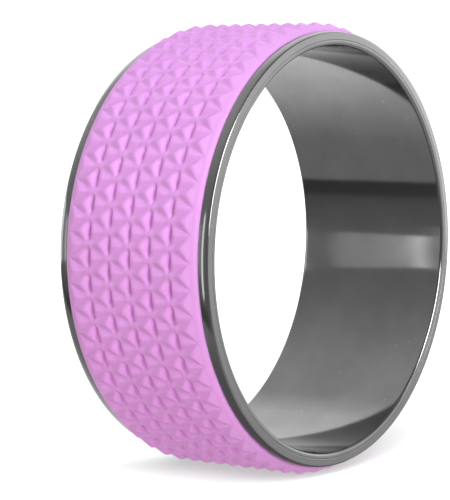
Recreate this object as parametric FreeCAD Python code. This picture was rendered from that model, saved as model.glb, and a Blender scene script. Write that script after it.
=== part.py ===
import FreeCAD, Part
import math
import os

os.makedirs("parts", exist_ok=True)

# Yoga wheel, standing upright as it is used. Millimetres.
# Origin at the wheel's centre, +Y along the wheel's axis, +Z up.
# The near end of the wheel is at -Y.

# ---- driving dimensions -------------------------------------------------
peak_r = 165.0            # radius over the tread peaks (330 mm across)
wheel_width = 130.0       # over the two rim faces

rim_outer_r = 158.5       # outside of the end rings
rim_seat_r = 152.1        # where a ring sits on the hoop's stepped end
rim_depth = 7.8           # axial depth of the end rings
rim_fillet = 2.0          # rounding of the ring's outer corner
rim_edge = 0.25           # broken edges at the fine seam between ring and hoop

hoop_inner_r = 148.1      # bore
hoop_outer_r = 155.0      # under the mat
bore_round = rim_seat_r - hoop_inner_r  # the hoop's end is rounded over its whole thickness

film_t = 0.3              # bonding film under the mat

margin_r = 161.8          # edge of the pyramid field
valley_r = 160.0          # points where six pyramids meet
shoulder_r = 160.7        # the mat's sloping margin turns steeper here
mat_foot_r = 159.0        # foot of the mat's edge
bevel_depth = 1.8         # axial depth of the steeper part
pattern_half = 53.0       # half the width of the pyramid field
strips = 6                # rows of pyramids across the mat
per_turn = 55             # pyramids of one kind in one row, per turn

half_w = wheel_width / 2.0
mat_half = half_w - rim_depth
mat_inner_r = hoop_outer_r + film_t
pitch = 2.0 * math.pi / per_turn
column_gap = 2.0 * pattern_half / strips
# The wheel stands on two rows of peaks, a quarter pitch either side of the
# lowest point.
phase = -math.pi / 2.0 + 0.75 * pitch

AXIS = FreeCAD.Vector(0, 1, 0)
ZERO = FreeCAD.Vector(0, 0, 0)


def at(r, angle, y):
    return FreeCAD.Vector(r * math.cos(angle), y, r * math.sin(angle))


def tube(r_in, r_out, y0, y1):
    base = FreeCAD.Vector(0, y0, 0)
    outer = Part.makeCylinder(r_out, y1 - y0, base, AXIS)
    return outer.cut(Part.makeCylinder(r_in, y1 - y0, base, AXIS))


def turned(segments):
    wire = Part.Wire([e.toShape() for e in segments])
    return Part.Face(wire).revolve(ZERO, AXIS, 360)


def corner(centre, radius, start, stop):
    """Rounded corner of a section, centre (r, y), angles in degrees."""
    ends = []
    for deg in (start, 0.5 * (start + stop), stop):
        a = math.radians(deg)
        ends.append(
            FreeCAD.Vector(centre[0] + radius * math.cos(a), centre[1] + radius * math.sin(a), 0)
        )
    return Part.Arc(*ends)


def lines(points):
    corners = [FreeCAD.Vector(r, y, 0) for r, y in points]
    return [Part.LineSegment(a, b) for a, b in zip(corners[:-1], corners[1:])]


def rim_ring(side):
    """End ring pressed over the hoop's stepped end; side is -1 at the near end, +1 at the far end."""
    f, e = rim_fillet, rim_edge
    section = lines(
        [
            (rim_outer_r - f, side * half_w),
            (rim_seat_r + e, side * half_w),
            (rim_seat_r, side * (half_w - e)),
            (rim_seat_r, side * mat_half),
            (rim_outer_r, side * mat_half),
            (rim_outer_r, side * (half_w - f)),
        ]
    )
    section.append(corner((rim_outer_r - f, side * (half_w - f)), f, 0.0, side * 90.0))
    return turned(section)


def hoop():
    """The load-bearing wall: stepped outside at both ends to seat the rings, rounded into the bore."""
    g = bore_round
    section = lines(
        [
            (hoop_inner_r + g, -half_w),
            (rim_seat_r, -mat_half),
            (hoop_outer_r, -mat_half),
            (hoop_outer_r, mat_half),
            (rim_seat_r, mat_half),
            (hoop_inner_r + g, half_w),
        ]
    )
    section.append(corner((hoop_inner_r + g, half_w - g), g, 90.0, 180.0))
    section += lines([(hoop_inner_r, half_w - g), (hoop_inner_r, g - half_w)])
    section.append(corner((hoop_inner_r + g, g - half_w), g, 180.0, 270.0))
    return turned(section)


def facet(*points):
    return Part.Face(Part.makePolygon(list(points) + [points[0]]))


def tread():
    """The mat: a field of three-sided pyramids on a triangular lattice, and a plain sloping margin at each edge."""
    faces = []

    def star(j, k):
        shift = 0.5 if j % 2 == 0 else 0.0
        r = margin_r if j in (0, strips) else valley_r
        return at(r, phase + (k + shift) * pitch, pattern_half - j * column_gap)

    def pyramid(a, b, c):
        m = (a + b + c) * (1.0 / 3.0)
        ang = math.atan2(m.z, m.x)
        apex = at(peak_r, ang, m.y)
        faces.extend([facet(a, b, apex), facet(b, c, apex), facet(c, a, apex)])

    for j in range(strips):
        for k in range(per_turn):
            if j % 2 == 0:
                # this column leads the next one by half a pitch
                pyramid(star(j, k), star(j, k + 1), star(j + 1, k + 1))
                pyramid(star(j + 1, k), star(j, k), star(j + 1, k + 1))
            else:
                pyramid(star(j, k), star(j, k + 1), star(j + 1, k))
                pyramid(star(j + 1, k), star(j, k + 1), star(j + 1, k + 1))

    for j, side in ((0, 1.0), (strips, -1.0)):
        y_turn = side * (mat_half - bevel_depth)
        y_end = side * mat_half
        shift = 0.5 if j % 2 == 0 else 0.0
        ring = []
        for k in range(per_turn):
            a0 = phase + (k + shift) * pitch
            a1 = a0 + pitch
            faces.append(
                facet(star(j, k), star(j, k + 1), at(shoulder_r, a1, y_turn), at(shoulder_r, a0, y_turn))
            )
            faces.append(
                facet(
                    at(shoulder_r, a0, y_turn),
                    at(shoulder_r, a1, y_turn),
                    at(mat_foot_r, a1, y_end),
                    at(mat_foot_r, a0, y_end),
                )
            )
            ring.append(at(mat_foot_r, a0, y_end))
        faces.append(facet(*ring))

    shell = Part.makeShell(faces)
    shell.sewShape()
    shells = shell.Shells
    solid = Part.makeSolid(shells[0])
    if solid.Volume < 0:
        solid.reverse()
    hole = Part.makeCylinder(
        mat_inner_r, 4.0 * mat_half, FreeCAD.Vector(0, -2.0 * mat_half, 0), AXIS
    )
    return solid.cut(hole)


nodes = {
    "core_hoop": hoop(),
    "front_rim_ring": rim_ring(-1.0),
    "rear_rim_ring": rim_ring(1.0),
    "mat_adhesive": tube(hoop_outer_r, mat_inner_r, -mat_half, mat_half),
    "tread_mat": tread(),
}

for name, shape in nodes.items():
    solids = shape.Solids
    if len(solids) != 1:
        raise RuntimeError("%s has %d solids" % (name, len(solids)))
    solid = solids[0]
    if solid.Volume < 0:
        solid.reverse()
    if not solid.isValid():
        raise RuntimeError("%s is not a valid solid" % name)
    solid.exportStep("parts/%s.step" % name)
    box = solid.BoundBox
    print(
        "%-16s volume %.0f mm3  faces %d  box x %.2f %.2f  y %.2f %.2f  z %.2f %.2f"
        % (name, solid.Volume, len(solid.Faces), box.XMin, box.XMax, box.YMin, box.YMax, box.ZMin, box.ZMax)
    )
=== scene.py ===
import math

import bpy
import numpy as np
from mathutils import Matrix, Vector


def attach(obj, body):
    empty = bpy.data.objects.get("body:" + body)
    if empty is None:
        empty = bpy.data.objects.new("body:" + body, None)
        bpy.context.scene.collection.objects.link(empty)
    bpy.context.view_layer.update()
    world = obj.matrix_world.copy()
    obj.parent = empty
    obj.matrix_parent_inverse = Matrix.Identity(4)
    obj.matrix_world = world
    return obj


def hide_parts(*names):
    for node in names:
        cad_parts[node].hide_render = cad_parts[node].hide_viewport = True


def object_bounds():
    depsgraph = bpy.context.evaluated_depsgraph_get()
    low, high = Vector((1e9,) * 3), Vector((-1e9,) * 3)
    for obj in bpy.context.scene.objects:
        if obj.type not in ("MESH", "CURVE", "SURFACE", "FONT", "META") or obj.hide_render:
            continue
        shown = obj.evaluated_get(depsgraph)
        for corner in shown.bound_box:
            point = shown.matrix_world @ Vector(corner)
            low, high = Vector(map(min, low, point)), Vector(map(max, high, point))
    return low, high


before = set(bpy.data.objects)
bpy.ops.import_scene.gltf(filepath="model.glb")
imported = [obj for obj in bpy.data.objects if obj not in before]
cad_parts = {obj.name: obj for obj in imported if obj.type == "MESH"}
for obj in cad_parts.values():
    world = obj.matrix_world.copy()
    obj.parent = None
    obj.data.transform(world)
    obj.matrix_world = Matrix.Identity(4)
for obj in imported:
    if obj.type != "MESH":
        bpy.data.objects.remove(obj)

cad_lo, cad_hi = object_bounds()

MM = 0.001
scene = bpy.context.scene

# ------------------------------------------------------------------ sizes (mm)
PEAK_R = 165.0
HALF_W = 65.0
RIM_OUT, RIM_SEAT = 158.5, 152.1
RIM_DEPTH = 7.8
RIM_FILLET = 1.7
SHOULDER = 5.2
HOOP_IN, HOOP_OUT = 148.1, 155.0
FILM = 0.3
MARGIN_R = 161.8
FOOT_R = 159.0
PATTERN_HALF = 53.0
STRIPS = 6
PER_TURN = 55
MAT_HALF = HALF_W - RIM_DEPTH
MAT_IN = HOOP_OUT + FILM
PITCH = 2 * math.pi / PER_TURN
GAP = 2 * PATTERN_HALF / STRIPS
PHASE = -math.pi / 2 + 0.75 * PITCH

# ------------------------------------------------------------------ camera
AZ, EL = math.radians(-53.54), math.radians(4.36)
CAM_T = (0.1875, 0.0189, -10.0)     # wheel centre in the camera's axes, in rim radii
F_PX = 2128.0                       # focal length in pixels of the 450 x 500 frame

back = Vector((math.sin(AZ) * math.cos(EL), -math.cos(AZ) * math.cos(EL), math.sin(EL)))
right = Vector((math.cos(AZ), math.sin(AZ), 0))
up = back.cross(right)
u_mm = RIM_OUT * MM
eye = -(right * CAM_T[0] + up * CAM_T[1] + back * CAM_T[2]) * u_mm
cam_data = bpy.data.cameras.new("photo_camera")
cam_data.sensor_width = 36.0
cam_data.sensor_fit = "AUTO"
cam_data.lens = F_PX / 500.0 * 36.0
cam_data.clip_start, cam_data.clip_end = 0.02, 60.0
cam = bpy.data.objects.new("photo_camera", cam_data)
rot = Matrix((right, up, back)).transposed()
cam.matrix_world = Matrix.Translation(eye) @ rot.to_4x4()
scene.collection.objects.link(cam)
scene.camera = cam


# ------------------------------------------------------------------ mesh helpers
def new_object(name, verts, faces, smooth=True):
    me = bpy.data.meshes.new(name)
    me.from_pydata([tuple(v) for v in verts], [], [tuple(f) for f in faces])
    me.validate()
    me.update()
    if smooth:
        me.polygons.foreach_set("use_smooth", [True] * len(me.polygons))
    ob = bpy.data.objects.new(name, me)
    scene.collection.objects.link(ob)
    return ob


def arc(cx, cy, r, a0, a1, n):
    """Points of a rounded corner, centre (radius, axial), angles in degrees."""
    out = []
    for i in range(n + 1):
        a = math.radians(a0 + (a1 - a0) * i / n)
        out.append((cx + r * math.cos(a), cy + r * math.sin(a)))
    return out


def lathe(name, profile, steps):
    """Turns a closed (radius, axial) profile in mm about the Y axis."""
    n = len(profile)
    verts, faces = [], []
    for i in range(steps):
        a = 2 * math.pi * i / steps
        c, s = math.cos(a), math.sin(a)
        for r, y in profile:
            verts.append((r * c * MM, y * MM, r * s * MM))
    for i in range(steps):
        j = (i + 1) % steps
        for k in range(n):
            m = (k + 1) % n
            faces.append((i * n + k, i * n + m, j * n + m, j * n + k))
    ob = new_object(name, verts, faces)
    me = ob.data
    # outward normals
    vol = 0.0
    for p in me.polygons:
        vol += p.area * p.normal.dot(p.center)
    if vol < 0:
        me.flip_normals()
    return ob


def sharp_by_angle(ob, degrees):
    me = ob.data
    me.set_sharp_from_angle(angle=math.radians(degrees))


# ------------------------------------------------------------------ end rings
def ring_profile(side):
    """Closed section of an end ring: seat, broken edge at the fine seam, flat face,
    drawn-out outer corner, slightly crowned side band."""
    f, run = RIM_FILLET, SHOULDER
    pts = [(RIM_SEAT + 0.02, MAT_HALF), (RIM_SEAT + 0.02, HALF_W - 0.3)]
    pts += [(RIM_SEAT + 0.05, HALF_W - 0.12), (RIM_SEAT + 0.11, HALF_W - 0.04), (RIM_SEAT + 0.20, HALF_W)]
    pts += [(RIM_SEAT + 0.6, HALF_W), (RIM_SEAT + 2.0, HALF_W), (RIM_OUT - f - 0.8, HALF_W)]
    # outer corner: tight at the face, drawn out along the side band
    for i in range(25):
        a = math.radians(90.0 - 90.0 * i / 24.0)
        pts.append((RIM_OUT - f + f * math.cos(a), HALF_W - run + run * math.sin(a)))
    y1, y0 = HALF_W - run, MAT_HALF + 0.4
    for i in range(1, 7):
        t = i / 6.0
        pts.append((RIM_OUT - 0.08 * t * t, y1 + (y0 - y1) * t))
    pts += arc(RIM_OUT - 0.08 - 0.4, MAT_HALF + 0.4, 0.4, -4, -90, 5)[1:]
    return [(r, side * y) for r, y in pts]


rings = {}
for node, side in (("front_rim_ring", -1.0), ("rear_rim_ring", 1.0)):
    ob = lathe(node.replace("_ring", "") + "_moulding", ring_profile(side), 720)
    sharp_by_angle(ob, 35)
    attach(ob, "root")
    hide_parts(node)
    rings[node] = ob


# ------------------------------------------------------------------ hoop
def hoop_end():
    """Half of the hoop's section, from the bore's middle round the end to the outside."""
    pts = [(HOOP_IN, float(y)) for y in np.linspace(0.0, MAT_HALF, 13)]
    # a rounded corner, then a narrow land up to the seam
    y_f = HALF_W - 2.2
    for i in range(1, 7):
        pts.append((HOOP_IN, MAT_HALF + (y_f - MAT_HALF) * i / 6.0))
    a1 = math.radians(86.0)
    rr = (HALF_W - 0.07 - y_f) / math.sin(a1)
    for i in range(1, 21):
        a = a1 * i / 20.0
        pts.append((HOOP_IN + rr - rr * math.cos(a), y_f + rr * math.sin(a)))
    r_l = pts[-1][0]
    pts += [(r_l + 0.5 * (RIM_SEAT - 0.2 - r_l), HALF_W - 0.025), (RIM_SEAT - 0.2, HALF_W)]
    pts += [(RIM_SEAT - 0.08, HALF_W - 0.05), (RIM_SEAT - 0.04, HALF_W - 0.13), (RIM_SEAT - 0.02, HALF_W - 0.3)]
    pts += [(RIM_SEAT - 0.02, MAT_HALF + 0.02), (HOOP_OUT, MAT_HALF - 0.02)]
    return pts


half = hoop_end()
hoop = lathe("hoop_wall", half + [(r, -y) for r, y in half[:0:-1]], 720)
sharp_by_angle(hoop, 35)
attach(hoop, "root")
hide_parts("core_hoop")


# ------------------------------------------------------------------ tread mat
N_SUB = 10           # rows from a valley to a peak
HUB_R = 163.3        # points where six pyramids meet
GROOVE = 4.7         # valleys that run round the wheel sink this far below the meeting points
DIAGONAL = 1.1       # slanting valleys sink less
TIP_R = 164.96       # blunt tips
BULGE = 1.06         # flanks are a little steeper at the valleys
RIDGE = 0.13         # width of the soft ridges, in triangle heights


def tread_mesh():
    keys, verts, faces = {}, [], []
    def vert(phi, y, r):
        phi = phi % (2 * math.pi)
        k = (round(phi * 2e5) % round(2 * math.pi * 2e5), round(y * 1e3), round(r * 1e3))
        i = keys.get(k)
        if i is None:
            i = len(verts)
            keys[k] = i
            verts.append((r * math.cos(phi) * MM, y * MM, r * math.sin(phi) * MM))
        return i

    def smooth(a, b, x):
        t = min(max((x - a) / (b - a), 0.0), 1.0)
        return t * t * (3 - 2 * t)

    def soft_min(a, b):
        k = max(RIDGE - abs(a - b), 0.0) / RIDGE
        return min(a, b) - k * k * RIDGE / 4.0

    top = soft_min(soft_min(1 / 3.0, 1 / 3.0), 1 / 3.0)

    def height(u, v, w, bu, bv, bw, duv, dvw, dwu):
        """Radius at barycentric (u, v, w); b? is 1 where that corner lies on the pattern's edge,
        d?? is how far the valley between two corners sinks."""
        a, b, c = sorted((u, v, w))
        m = soft_min(soft_min(a, b), c) / top
        flank = 1.0 - (1.0 - m) ** BULGE if m > 0 else BULGE * m
        q = u * v + v * w + w * u
        x = min(4.0 * q, 1.0) ** 1.4
        sink = (duv * u * v + dvw * v * w + dwu * w * u) / max(q, 1e-9)
        base = HUB_R - sink * x * x * (3.0 - 2.0 * x)
        edge = u * bu + v * bv + w * bw
        base += (MARGIN_R - base) * smooth(0.4, 1.0, edge)
        if edge > 0.999:
            return MARGIN_R
        return base + (TIP_R - base) * flank

    def warp(t):
        return 0.55 * t + 0.45 * t * t

    def triangle(P, B):
        D = [GROOVE if abs(P[q][1] - P[(q + 1) % 3][1]) < 1e-6 else DIAGONAL for q in range(3)]
        for e in range(3):
            a, b = e, (e + 1) % 3
            rows = []
            for i in range(N_SUB + 1):
                w = warp(i / N_SUB)
                row = []
                n = N_SUB - i
                for j in range(n + 1):
                    s = j / n if n else 0.0
                    s -= 0.4 * math.sin(2 * math.pi * s) / (2 * math.pi)
                    bar = [w / 3.0] * 3
                    bar[a] += (1 - w) * (1 - s)
                    bar[b] += (1 - w) * s
                    phi = sum(bar[q] * P[q][0] for q in range(3))
                    y = sum(bar[q] * P[q][1] for q in range(3))
                    row.append(vert(phi, y, height(*bar, *B, *D)))
                rows.append(row)
            for i in range(N_SUB):
                r0, r1 = rows[i], rows[i + 1]
                for j in range(len(r1)):
                    faces.append((r0[j], r0[j + 1], r1[j]))
                    if j + 1 < len(r1):
                        faces.append((r0[j + 1], r1[j + 1], r1[j]))

    def star(j, k):
        return (PHASE + (k + (0.5 if j % 2 == 0 else 0.0)) * PITCH, PATTERN_HALF - j * GAP)

    def edge(j):
        return 1.0 if j in (0, STRIPS) else 0.0

    for j in range(STRIPS):
        for k in range(PER_TURN):
            if j % 2 == 0:
                tris = (((j, k), (j, k + 1), (j + 1, k + 1)), ((j + 1, k), (j, k), (j + 1, k + 1)))
            else:
                tris = (((j, k), (j, k + 1), (j + 1, k)), ((j + 1, k), (j, k + 1), (j + 1, k + 1)))
            for t in tris:
                triangle([star(*q) for q in t], [edge(q[0]) for q in t])

    # margin, end face and underside
    n_round = PER_TURN * N_SUB

    def spaced(i):
        t = i / N_SUB
        return t - 0.4 * math.sin(2 * math.pi * t) / (2 * math.pi)

    for j, side in ((0, 1.0), (STRIPS, -1.0)):
        # margin: slopes away from the pyramids and turns steeper toward the ring
        prof = []
        for i in range(11):
            t = i / 10.0
            p0, p1, p2 = (MARGIN_R, PATTERN_HALF), (MARGIN_R - 0.95, MAT_HALF - 1.1), (FOOT_R, MAT_HALF)
            prof.append(
                tuple((1 - t) ** 2 * p0[q] + 2 * t * (1 - t) * p1[q] + t * t * p2[q] for q in (0, 1))
            )
        prof.append((MAT_IN, MAT_HALF))
        prof.append((MAT_IN, MAT_HALF / 2))
        prof.append((MAT_IN, 0.0))
        clean = [prof[0]]
        for p in prof[1:]:
            if math.hypot(p[0] - clean[-1][0], p[1] - clean[-1][1]) > 0.02:
                clean.append(p)
        shift = 0.5 if j % 2 == 0 else 0.0
        loops = []
        for r, y in clean:
            loops.append(
                [vert(PHASE + (shift + spaced(i)) * PITCH, side * y, r) for i in range(n_round)]
            )
        for a, b in zip(loops[:-1], loops[1:]):
            for i in range(n_round):
                q = (i + 1) % n_round
                faces.append((a[i], a[q], b[q], b[i]))
    return verts, faces


tv, tf = tread_mesh()
tread = new_object("tread_sleeve", tv, tf)
import bmesh
bm = bmesh.new()
bm.from_mesh(tread.data)
bmesh.ops.remove_doubles(bm, verts=bm.verts, dist=2e-6)
bmesh.ops.recalc_face_normals(bm, faces=bm.faces)
open_edges = sum(1 for e in bm.edges if len(e.link_faces) != 2)
print("tread: verts", len(bm.verts), "faces", len(bm.faces), "open edges", open_edges)
bm.to_mesh(tread.data)
bm.free()
tread.data.polygons.foreach_set("use_smooth", [True] * len(tread.data.polygons))
tread.data.update()
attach(tread, "root")
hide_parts("tread_mat")


# ------------------------------------------------------------------ materials
def material(name):
    m = bpy.data.materials.new(name)
    m.use_nodes = True
    nt = m.node_tree
    nt.nodes.clear()
    out = nt.nodes.new("ShaderNodeOutputMaterial")
    bsdf = nt.nodes.new("ShaderNodeBsdfPrincipled")
    nt.links.new(bsdf.outputs["BSDF"], out.inputs["Surface"])
    return m, nt, bsdf


def noise(nt, vec, scale, detail=2.0, rough=0.5):
    n = nt.nodes.new("ShaderNodeTexNoise")
    n.inputs["Scale"].default_value = scale
    n.inputs["Detail"].default_value = detail
    n.inputs["Roughness"].default_value = rough
    nt.links.new(vec, n.inputs["Vector"])
    return n.outputs["Fac"]


def ramp(nt, fac, stops):
    r = nt.nodes.new("ShaderNodeValToRGB")
    el = r.color_ramp.elements
    el[0].position, el[0].color = stops[0][0], (*stops[0][1], 1)
    el[1].position, el[1].color = stops[-1][0], (*stops[-1][1], 1)
    for p, c in stops[1:-1]:
        e = el.new(p)
        e.color = (*c, 1)
    nt.links.new(fac, r.inputs["Fac"])
    return r.outputs["Color"]


def remap(nt, fac, lo, hi):
    m = nt.nodes.new("ShaderNodeMapRange")
    m.inputs["To Min"].default_value = lo
    m.inputs["To Max"].default_value = hi
    nt.links.new(fac, m.inputs["Value"])
    return m.outputs["Result"]


def bump(nt, height, strength, distance, normal=None):
    b = nt.nodes.new("ShaderNodeBump")
    b.inputs["Strength"].default_value = strength
    b.inputs["Distance"].default_value = distance
    nt.links.new(height, b.inputs["Height"])
    if normal is not None:
        nt.links.new(normal, b.inputs["Normal"])
    return b.outputs["Normal"]


def coords(nt):
    return nt.nodes.new("ShaderNodeTexCoord").outputs["Object"]


def plastic(name, tone, rough, wave, blotch):
    """Dark grey gloss with the metallic sheen of a pearl pigment, a little cloudy, with a few specks."""
    m, nt, b = material(name)
    v = coords(nt)
    cloud = noise(nt, v, 22.0, 5.0, 0.6)
    tint = ramp(
        nt, cloud, [(0.3, tuple(c * (1 - blotch) for c in tone)), (0.7, tuple(c * (1 + blotch) for c in tone))]
    )
    dots = nt.nodes.new("ShaderNodeTexVoronoi")
    dots.inputs["Scale"].default_value = 75.0
    nt.links.new(v, dots.inputs["Vector"])
    speck = ramp(nt, dots.outputs["Distance"], [(0.035, (1, 1, 1)), (0.06, (0, 0, 0))])
    mix = nt.nodes.new("ShaderNodeMix")
    mix.data_type = "RGBA"
    nt.links.new(speck, mix.inputs["Factor"])
    nt.links.new(tint, mix.inputs[6])
    mix.inputs[7].default_value = (*(c * 1.45 for c in tone), 1)
    nt.links.new(mix.outputs[2], b.inputs["Base Color"])
    nt.links.new(remap(nt, noise(nt, v, 55.0, 4.0), rough * 0.8, rough * 1.2), b.inputs["Roughness"])
    b.inputs["Metallic"].default_value = 0.92
    b.inputs["Specular IOR Level"].default_value = 0.5
    slow = bump(nt, noise(nt, v, 16.0, 2.0), wave, 0.002)
    nt.links.new(bump(nt, noise(nt, v, 700.0, 2.0), 0.025, 0.0001, slow), b.inputs["Normal"])
    return m


rim_mat = plastic("rim_gloss_grey", (0.267, 0.267, 0.268), 0.13, 0.01, 0.05)
hoop_mat = plastic("hoop_gloss_grey", (0.257, 0.257, 0.258), 0.085, 0.045, 0.10)

foam, nt, b = material("tread_orchid_foam")
v = coords(nt)
large = noise(nt, v, 18.0, 2.0)
nt.links.new(
    ramp(nt, large, [(0.25, (0.700, 0.325, 0.700)), (0.75, (0.735, 0.348, 0.738))]),
    b.inputs["Base Color"],
)
nt.links.new(remap(nt, noise(nt, v, 300.0, 3.0), 0.52, 0.66), b.inputs["Roughness"])
b.inputs["Specular IOR Level"].default_value = 0.35
b.inputs["Sheen Weight"].default_value = 0.05
b.inputs["Sheen Roughness"].default_value = 0.5
nt.links.new(bump(nt, noise(nt, v, 1500.0, 3.0, 0.6), 0.08, 0.0003), b.inputs["Normal"])

film, nt, b = material("bond_film_amber")
v = coords(nt)
nt.links.new(
    ramp(nt, noise(nt, v, 60.0, 3.0), [(0.3, (0.48, 0.42, 0.28)), (0.7, (0.56, 0.50, 0.36))]),
    b.inputs["Base Color"],
)
b.inputs["Roughness"].default_value = 0.45

for ob, m in ((rings["front_rim_ring"], rim_mat), (rings["rear_rim_ring"], rim_mat), (hoop, hoop_mat), (tread, foam)):
    ob.data.materials.clear()
    ob.data.materials.append(m)
film_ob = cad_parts["mat_adhesive"]
for s in film_ob.material_slots:
    s.material = film
if not film_ob.material_slots:
    film_ob.data.materials.append(film)

# ------------------------------------------------------------------ stage
FLOOR_Z = cad_lo[2]


def floor():
    """Round pale floor, only seen by the camera; light from below comes from the room."""
    verts, faces = [(0.0, 0.0, FLOOR_Z)], []
    n, radii = 96, (0.3, 0.8, 2.0, 5.0, 12.0, 30.0)
    for r in radii:
        for i in range(n):
            a = 2 * math.pi * i / n
            verts.append((r * math.cos(a), r * math.sin(a), FLOOR_Z))
    for i in range(n):
        faces.append((0, 1 + i, 1 + (i + 1) % n))
    for k in range(len(radii) - 1):
        for i in range(n):
            q = (i + 1) % n
            faces.append((1 + k * n + i, 1 + (k + 1) * n + i, 1 + (k + 1) * n + q, 1 + k * n + q))
    return new_object("studio_floor", verts, faces, smooth=False)


flo = floor()
fm, nt, b = material("studio_pale")
v = coords(nt)
nt.links.new(ramp(nt, noise(nt, v, 3.0, 2.0), [(0.3, (0.12, 0.12, 0.12)), (0.7, (0.124, 0.124, 0.124))]), b.inputs["Base Color"])
b.inputs["Roughness"].default_value = 0.95
b.inputs["Specular IOR Level"].default_value = 0.0
b.inputs["Emission Color"].default_value = (1, 1, 1, 1)
b.inputs["Emission Strength"].default_value = 0.45
flo.data.materials.append(fm)
flo.visible_diffuse = False
flo.visible_glossy = False
flo.visible_shadow = False

# The room: soft light and dark around the wheel, by angle about the wheel's axis
# (degrees from +X toward +Z), once for the far half and once for the near half.
FAR = [
    (-180, 0.29), (-171, 0.25), (-155, 0.17), (-153, 0.15), (-151, 0.065), (-143.3, 0.05), (-142.5, 0.40),
    (-116, 0.43), (-95, 0.75), (-77, 1.05), (-60, 1.25), (-30, 1.1), (0, 1.0), (40, 1.3), (60, 1.3),
    (79, 0.78), (108, 0.68), (128, 0.52), (146, 0.37), (165, 0.30), (180, 0.29),
]
NEAR = [
    (-180, 0.18), (-150, 0.22), (-120, 0.40), (-90, 0.55), (-60, 0.55), (-30, 0.58), (-12, 0.70), (1, 1.35),
    (12, 1.6), (30, 0.9), (54, 0.18), (90, 0.25), (120, 0.35), (150, 0.22), (180, 0.18),
]
PEAK_LEVEL = 4.0

world = bpy.data.worlds.new("studio")
scene.world = world
world.use_nodes = True
wt = world.node_tree
wt.nodes.clear()
w_out = wt.nodes.new("ShaderNodeOutputWorld")


def level_ramp(stops, angle):
    r = wt.nodes.new("ShaderNodeValToRGB")
    r.color_ramp.interpolation = "LINEAR"
    el = r.color_ramp.elements
    for k, (deg, lev) in enumerate(stops):
        p = (deg + 180.0) / 360.0
        if k == 0:
            e = el[0]
            e.position = p
        elif k == len(stops) - 1:
            e = el[len(el) - 1]
            e.position = p
        else:
            e = el.new(p)
        g = lev / PEAK_LEVEL
        e.color = (g, g, g, 1)
    wt.links.new(angle, r.inputs["Fac"])
    return r.outputs["Color"]


w_dir = wt.nodes.new("ShaderNodeTexCoord").outputs["Generated"]
w_xyz = wt.nodes.new("ShaderNodeSeparateXYZ")
wt.links.new(w_dir, w_xyz.inputs[0])
w_ang = wt.nodes.new("ShaderNodeMath")
w_ang.operation = "ARCTAN2"
wt.links.new(w_xyz.outputs["Z"], w_ang.inputs[0])
wt.links.new(w_xyz.outputs["X"], w_ang.inputs[1])
w_fac = wt.nodes.new("ShaderNodeMapRange")
w_fac.inputs["From Min"].default_value = -math.pi
w_fac.inputs["From Max"].default_value = math.pi
wt.links.new(w_ang.outputs[0], w_fac.inputs["Value"])
w_side = wt.nodes.new("ShaderNodeMapRange")
w_side.interpolation_type = "SMOOTHSTEP"
w_side.inputs["From Min"].default_value = -0.25
w_side.inputs["From Max"].default_value = 0.30
wt.links.new(w_xyz.outputs["Y"], w_side.inputs["Value"])
w_mix = wt.nodes.new("ShaderNodeMix")
w_mix.data_type = "RGBA"
wt.links.new(w_side.outputs["Result"], w_mix.inputs["Factor"])
wt.links.new(level_ramp(NEAR, w_fac.outputs["Result"]), w_mix.inputs[6])
wt.links.new(level_ramp(FAR, w_fac.outputs["Result"]), w_mix.inputs[7])
w_room = wt.nodes.new("ShaderNodeBackground")
wt.links.new(w_mix.outputs[2], w_room.inputs["Color"])
w_room.inputs["Strength"].default_value = PEAK_LEVEL
w_white = wt.nodes.new("ShaderNodeBackground")
w_white.inputs["Color"].default_value = (1, 1, 1, 1)
w_white.inputs["Strength"].default_value = 1.05
w_path = wt.nodes.new("ShaderNodeLightPath")
w_pick = wt.nodes.new("ShaderNodeMixShader")
wt.links.new(w_path.outputs["Is Camera Ray"], w_pick.inputs[0])
wt.links.new(w_room.outputs[0], w_pick.inputs[1])
wt.links.new(w_white.outputs[0], w_pick.inputs[2])
wt.links.new(w_pick.outputs[0], w_out.inputs["Surface"])


def area(name, towards, distance, size, radiance, size_y):
    """Softbox in the direction 'towards', facing the wheel's centre."""
    d = bpy.data.lights.new(name, "AREA")
    d.shape = "RECTANGLE"
    d.size, d.size_y = size, size_y
    d.energy = radiance * math.pi * size * size_y
    o = bpy.data.objects.new(name, d)
    pos = Vector(towards).normalized() * distance
    o.location = pos
    o.rotation_mode = "QUATERNION"
    o.rotation_quaternion = (-pos).to_track_quat("-Z", "Y")
    o.visible_camera = False
    scene.collection.objects.link(o)
    return o


def heading(az, el):
    a, e = math.radians(az), math.radians(el)
    return (math.sin(a) * math.cos(e), -math.cos(a) * math.cos(e), math.sin(e))


only_wheel = bpy.data.collections.new("only_wheel")
for ob in (*rings.values(), hoop, tread, film_ob):
    only_wheel.objects.link(ob)
only_floor = bpy.data.collections.new("only_floor")
only_floor.objects.link(flo)

# a broad softbox for the gloss, and a tall narrow one from the same side that models the foam
broad = area("key_broad", heading(-28, 28), 1.6, 0.80, 9.0, 1.25)
broad.visible_diffuse = False
strip = area("key_strip", heading(2, 33), 1.6, 1.0, 5.0, 0.16)
strip.visible_diffuse = False
small = area("key_tall", heading(-35, 16), 1.6, 0.24, 13.0, 1.3)
soft = [
    small,
    area("fill_left", heading(-82, 6), 2.2, 1.4, 1.55, 1.4),
    area("fill_front", heading(-52, 5), 2.6, 2.4, 0.32, 2.4),
    area("fill_top", (-0.2, -0.3, 1.0), 1.9, 1.2, 2.85, 1.2),
    area("fill_low", heading(-62, -48), 2.0, 1.6, 1.3, 1.6),
]
for o, tint in zip(
    soft, ((0.97, 0.98, 1.08), (1.0, 0.97, 0.96), (1.0, 0.98, 0.96), (0.97, 0.92, 1.13), (1.0, 0.64, 0.78))
):
    o.data.color = tint
for o in soft:
    o.visible_glossy = False
for o in (broad, strip, *soft):
    o.light_linking.receiver_collection = only_wheel
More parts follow.
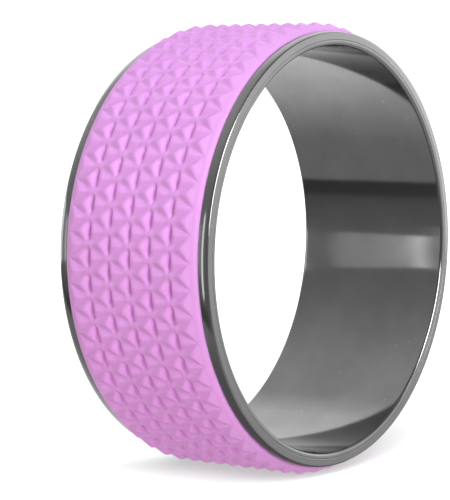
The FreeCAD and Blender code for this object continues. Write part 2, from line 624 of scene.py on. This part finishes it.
# light on the floor alone, for the soft shadow under the wheel
sun = bpy.data.lights.new("floor_light", "SUN")
sun.energy = 46.0
sun.angle = math.radians(80)
sun_ob = bpy.data.objects.new("floor_light", sun)
sun_ob.visible_glossy = False
sun_ob.rotation_mode = "QUATERNION"
sun_ob.rotation_quaternion = (-Vector(heading(-50, 35))).to_track_quat("-Z", "Y")
scene.collection.objects.link(sun_ob)
sun_ob.light_linking.receiver_collection = only_floor


def card(name, corners, levels):
    """Glowing card out of the camera's sight, seen only in reflections; most are lit panels behind the wheel, one is
    a dark card of painted shade on the floor. Levels run along its length.
    """
    ob = new_object(name, corners, [(0, 1, 2, 3)], smooth=False)
    m, nt, b = material(name)
    sx = nt.nodes.new("ShaderNodeSeparateXYZ")
    nt.links.new(coords(nt), sx.inputs[0])
    f = nt.nodes.new("ShaderNodeMapRange")
    f.inputs["From Min"].default_value = min(c[0] for c in corners)
    f.inputs["From Max"].default_value = max(c[0] for c in corners)
    nt.links.new(sx.outputs["X"], f.inputs["Value"])
    nt.links.new(
        ramp(nt, f.outputs["Result"], [(p, (g / 4, g / 4, g / 4)) for p, g in levels]),
        b.inputs["Emission Color"],
    )
    b.inputs["Emission Strength"].default_value = 4.0
    b.inputs["Base Color"].default_value = (0.02, 0.02, 0.02, 1)
    ob.data.materials.append(m)
    ob.visible_camera = False
    ob.visible_shadow = False
    ob.visible_diffuse = False
    return ob


card(
    "light_card_left",
    [(-0.684, 0.45, -0.078), (-0.480, 0.45, -0.060), (-0.465, 0.45, 0.147), (-0.678, 0.45, 0.163)],
    [(0.0, 2.9), (0.08, 2.6), (0.20, 0.68), (0.75, 0.66), (1.0, 0.55)],
)
card(
    "light_card_side",
    [(-0.98, 0.27, -0.34), (-0.90, 0.42, -0.34), (-0.90, 0.42, 0.30), (-0.98, 0.27, 0.30)],
    [(0.0, 2.0), (0.5, 2.4), (1.0, 2.0)],
)
card(
    "light_card_wall",
    [(-0.86, 0.45, -0.16), (-0.687, 0.452, -0.16), (-0.687, 0.452, 0.20), (-0.86, 0.45, 0.20)],
    [(0.0, 0.42), (0.5, 0.44), (1.0, 0.42)],
)
card(
    "light_card_right",
    [(-0.395, 0.45, -0.05), (-0.17, 0.45, -0.05), (-0.17, 0.45, 0.14), (-0.395, 0.45, 0.14)],
    [(0.0, 1.8), (0.5, 2.2), (1.0, 2.0)],
)

# lit panel that the near ring's face mirrors on its right side
card(
    "light_card_face",
    [(1.395, -0.902, -0.12), (1.472, -0.779, -0.12), (1.472, -0.779, 0.30), (1.395, -0.902, 0.30)],
    [(0.0, 1.9), (0.5, 2.0), (1.0, 1.9)],
)

# painted shade: a dark card on the floor under the wheel, seen only in reflections, standing for the wheel's shadow
# there that the lower side of the rings mirrors
card(
    "painted_shade_floor_card",
    [(-0.30, -0.075, FLOOR_Z + 0.001), (0.03, -0.075, FLOOR_Z + 0.001), (0.03, 0.055, FLOOR_Z + 0.001), (-0.30, 0.055, FLOOR_Z + 0.001)],
    [(0.0, 0.30), (0.35, 0.16), (1.0, 0.14)],
)

scene.view_settings.view_transform = "Standard"
scene.view_settings.look = "None"
scene.view_settings.exposure = 0.0
scene.view_settings.gamma = 1.0
